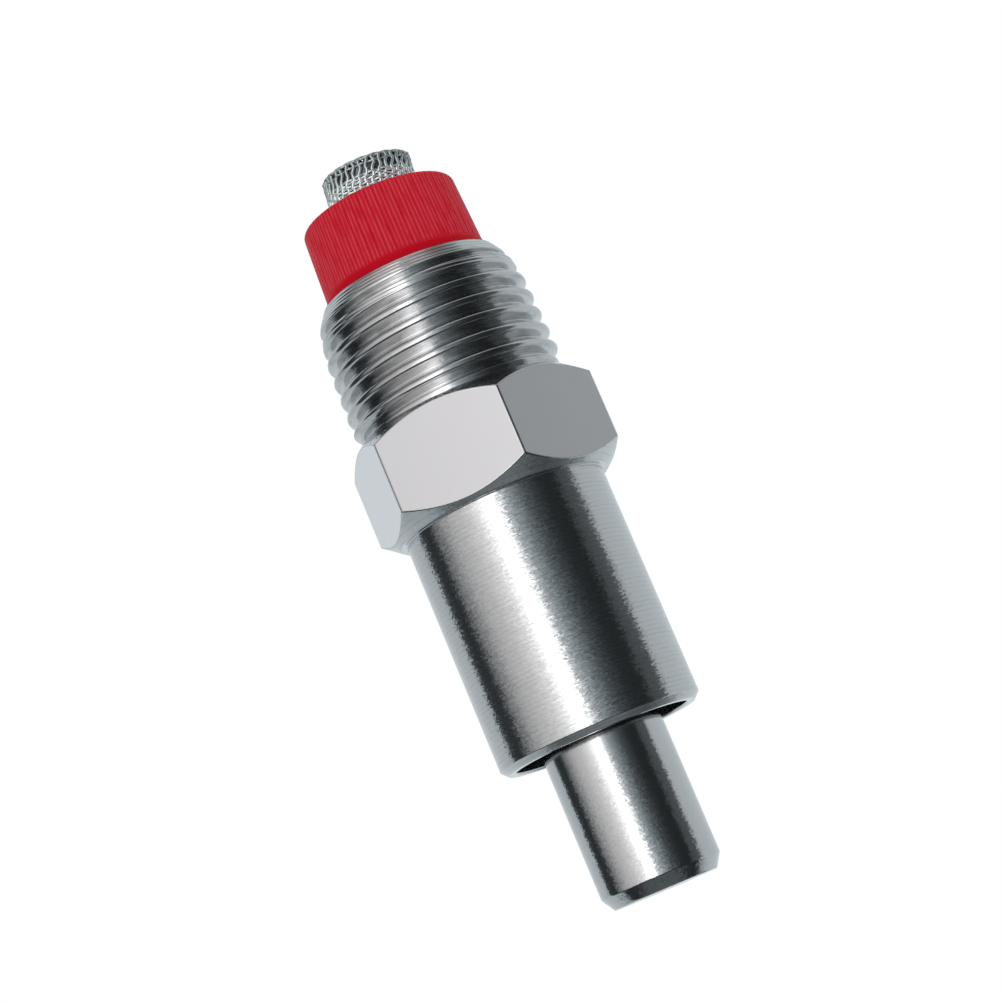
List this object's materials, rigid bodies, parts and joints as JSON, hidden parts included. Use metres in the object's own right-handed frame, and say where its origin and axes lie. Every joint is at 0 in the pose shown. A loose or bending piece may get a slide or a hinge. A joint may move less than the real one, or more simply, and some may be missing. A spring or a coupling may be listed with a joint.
{
  "type": "pig nipple drinker",
  "caption": "Bite-operated nipple drinker for livestock: threaded hexagon body, sprung steel pin in an open barrel, ribbed regulator cap with a wire strainer.",
  "frame": {"origin": "on the axis, at the hexagon's face on the thread side, where the inlet thread begins", "axes": "+Z along the axis towards the inlet, as the drinker hangs with its pin down; +X square to one pair of the hexagon's flats"},
  "size_m": [0.022, 0.0254, 0.0748],
  "materials": {
    "turned_steel": "turned stainless steel",
    "pin_steel": "turned stainless steel",
    "seal_rubber": "matt black rubber",
    "spring_steel": "drawn wire",
    "cap_plastic": "moulded red plastic",
    "strainer_wire": "woven wire cloth"
  },
  "bodies": {
    "drinker_body": {"steel_body": "turned_steel"},
    "spring_set": {"return_spring": "spring_steel"},
    "seal_set": {"seal_ring": "seal_rubber"},
    "nipple": {"nipple_pin": "pin_steel"},
    "strainer_set": {"strainer": "strainer_wire"},
    "cap_set": {"regulator_cap": "cap_plastic"}
  },
  "joints": [
    {"name": "nipple_turn", "type": "hinge", "parent": "drinker_body", "child": "spring_set", "pos_m": [0, 0, 0], "axis": [0, 0, 1], "continuous": true},
    {"name": "nipple_push", "type": "slide", "parent": "spring_set", "child": "seal_set", "axis": [0, 0, 1], "range_m": [0, 0.0025], "stiffness_N_per_m": 1500, "springref_m": -0.004, "deforming": ["return_spring"]},
    {"name": "nipple_tilt", "type": "hinge", "parent": "seal_set", "child": "nipple", "pos_m": [-0.0071, 0, -0.0022], "axis": [0, -1, 0], "range_deg": [0, 4.2], "stiffness_Nm_per_rad": 0.08, "springref_deg": -28.65},
    {"name": "cap_pull", "type": "slide", "parent": "drinker_body", "child": "strainer_set", "axis": [0, 0, 1], "range_m": [0, 0.008]},
    {"name": "cap_turn", "type": "hinge", "parent": "strainer_set", "child": "cap_set", "pos_m": [0, 0, 0.0137], "axis": [0, 0, 1], "continuous": true}
  ]
}
